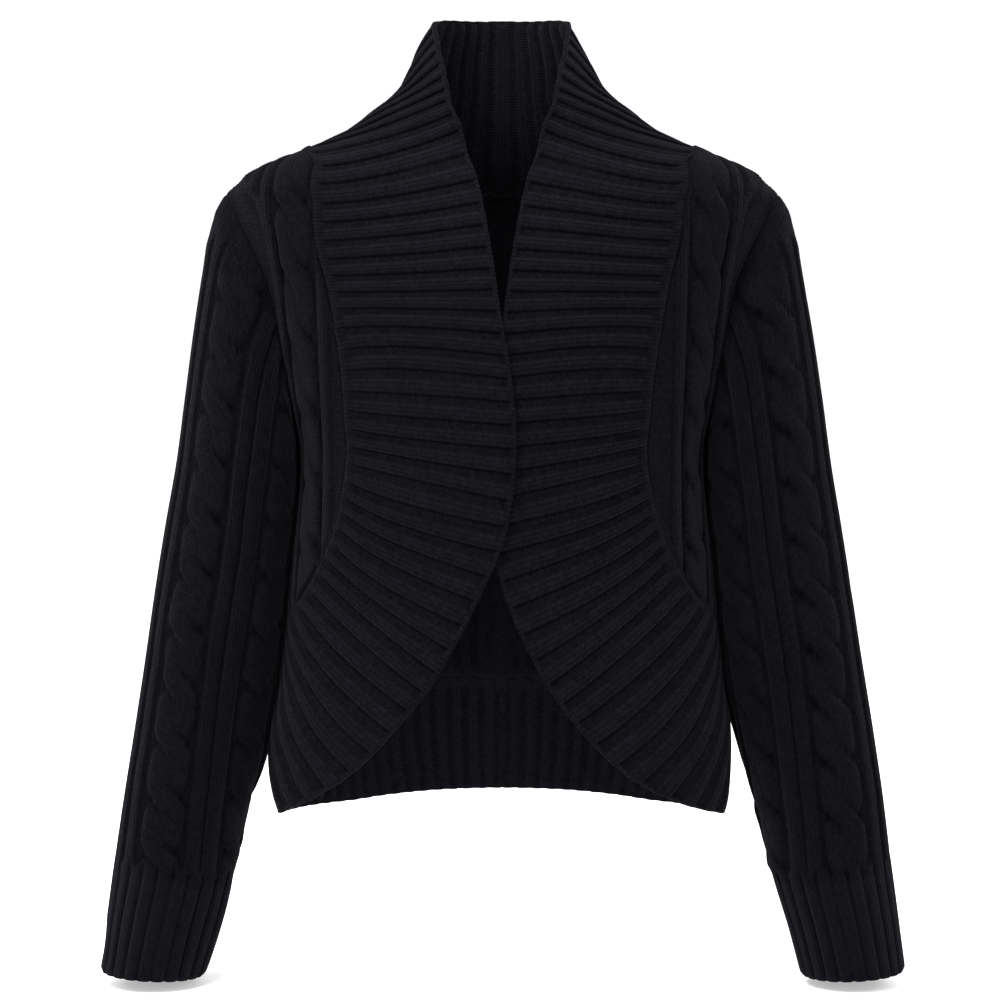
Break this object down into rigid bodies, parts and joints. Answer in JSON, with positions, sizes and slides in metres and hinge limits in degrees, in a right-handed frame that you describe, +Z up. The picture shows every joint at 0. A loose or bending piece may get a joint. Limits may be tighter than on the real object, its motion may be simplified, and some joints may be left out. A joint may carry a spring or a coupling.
{
  "type": "cardigan",
  "caption": "Cropped black cable-knit cardigan with long sleeves and a wide ribbed shawl band that laps at the front, in its hollow worn form.",
  "frame": {"origin": "midway between the shoulders, at their height, where the wearer holds the garment up", "axes": "+Z up along the wearer, the front faces -Y, the wearer's left is +X"},
  "size_m": [0.605, 0.2239, 0.7222],
  "materials": {
    "cable_knit": "matte black cable knit",
    "rib_knit": "matte black rib knit"
  },
  "bodies": {
    "root": {"back_panel": "cable_knit", "front_panel_right": "cable_knit", "front_panel_left": "cable_knit", "sleeve_right": "cable_knit", "sleeve_left": "cable_knit", "cuff_right": "rib_knit", "cuff_left": "rib_knit", "band_right": "rib_knit", "band_left": "rib_knit", "hem_band_back": "rib_knit"}
  },
  "joints": []
}
